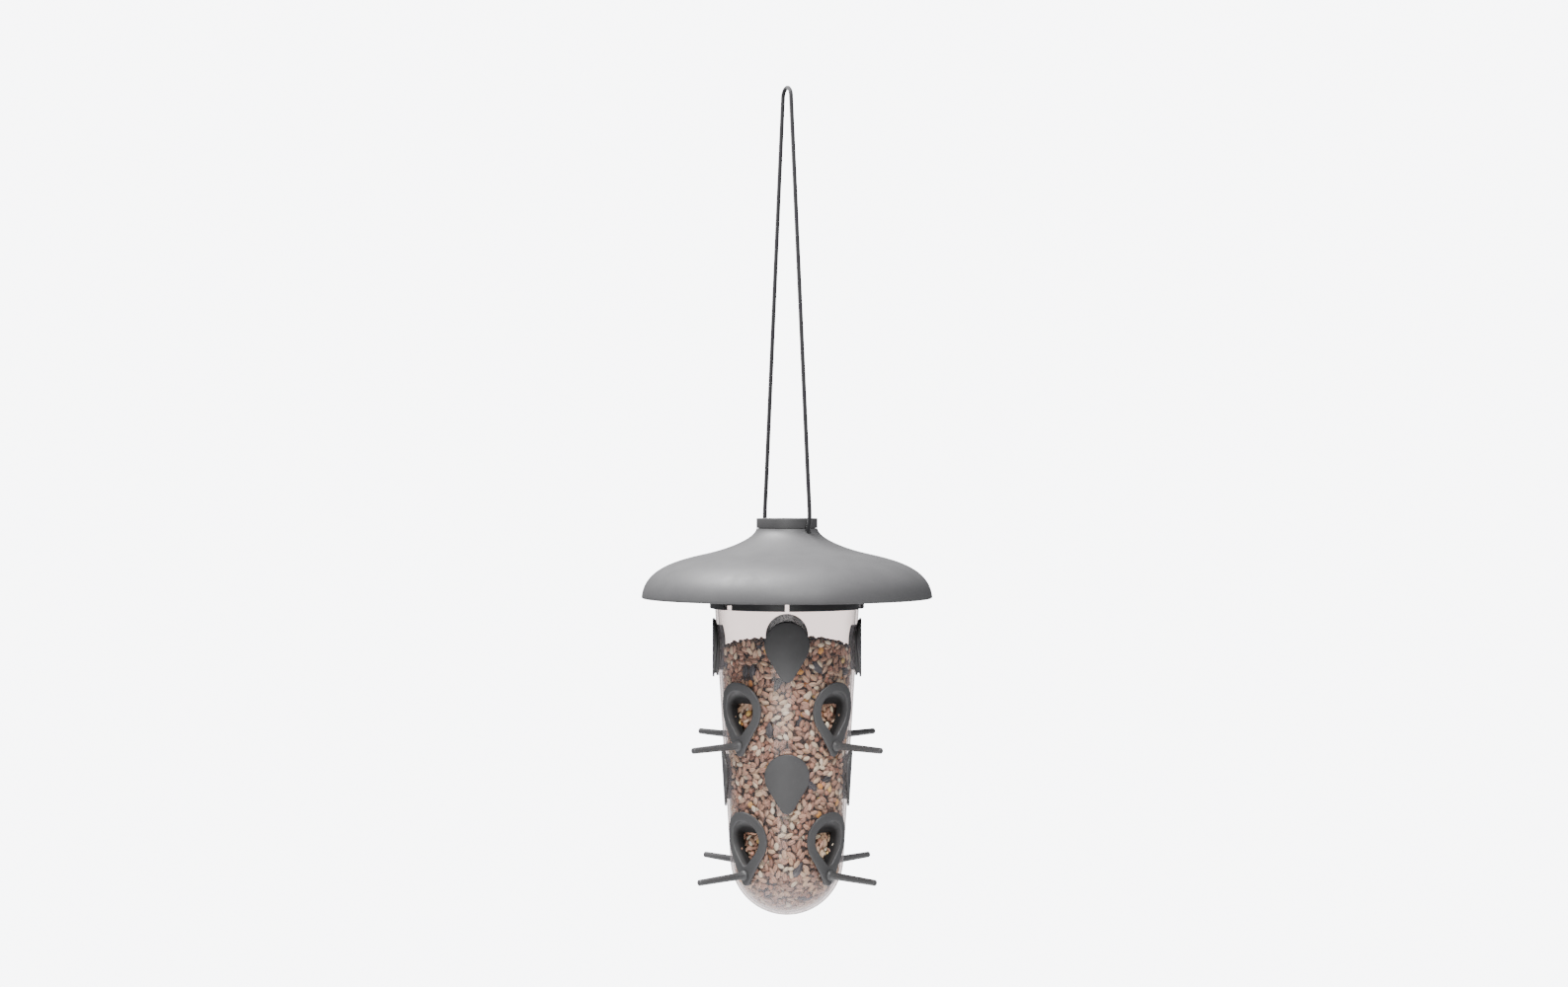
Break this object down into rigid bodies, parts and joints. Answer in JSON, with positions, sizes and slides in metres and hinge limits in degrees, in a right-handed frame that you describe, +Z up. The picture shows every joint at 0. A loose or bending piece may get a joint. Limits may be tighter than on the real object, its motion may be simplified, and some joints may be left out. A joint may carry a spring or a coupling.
{
  "type": "hanging bird feeder",
  "caption": "Clear tube seed feeder with a round foot, teardrop ports and plates, radial perches and a wide domed roof that slides up a black cord loop.",
  "frame": {"origin": "inside top of the cord loop, where it rests on a branch or hook", "axes": "+Z up along the tube's axis, -Y the feeder's front, between two ports and through a plate"},
  "size_m": [0.2106, 0.2106, 0.6014],
  "materials": {
    "roof_plastic": "satin anthracite grey moulded plastic",
    "ring_plastic": "near-black moulded plastic",
    "clear_plastic": "clear moulded plastic, slightly warm",
    "fitting_plastic": "satin slate grey moulded plastic",
    "cord": "black braided cord",
    "seed_mix": "mixed wheat, sunflower and maize seed"
  },
  "bodies": {
    "feeder": {"rim_ring": "ring_plastic", "cord_bridge": "ring_plastic", "tube": "clear_plastic", "seed_fill": "seed_mix", "hanging_cord": "cord", "cord_knot_front": "cord", "cord_knot_back": "cord", "port_upper_front_right": "fitting_plastic", "port_upper_back_right": "fitting_plastic", "port_upper_back_left": "fitting_plastic", "port_upper_front_left": "fitting_plastic", "perch_upper_front_right": "fitting_plastic", "perch_upper_back_right": "fitting_plastic", "perch_upper_back_left": "fitting_plastic", "perch_upper_front_left": "fitting_plastic", "port_lower_front_right": "fitting_plastic", "port_lower_back_right": "fitting_plastic", "port_lower_back_left": "fitting_plastic", "port_lower_front_left": "fitting_plastic", "perch_lower_front_right": "fitting_plastic", "perch_lower_back_right": "fitting_plastic", "perch_lower_back_left": "fitting_plastic", "perch_lower_front_left": "fitting_plastic", "plug_upper_front": "fitting_plastic", "plug_upper_right": "fitting_plastic", "plug_upper_back": "fitting_plastic", "plug_upper_left": "fitting_plastic", "plug_lower_front": "fitting_plastic", "plug_lower_right": "fitting_plastic", "plug_lower_back": "fitting_plastic", "plug_lower_left": "fitting_plastic"},
    "roof": {"roof": "roof_plastic", "roof_collar": "fitting_plastic"}
  },
  "joints": [
    {"name": "roof_lift", "type": "slide", "parent": "feeder", "child": "roof", "axis": [0, 0, 1], "range_m": [0, 0.12], "deforming": ["hanging_cord"]}
  ]
}
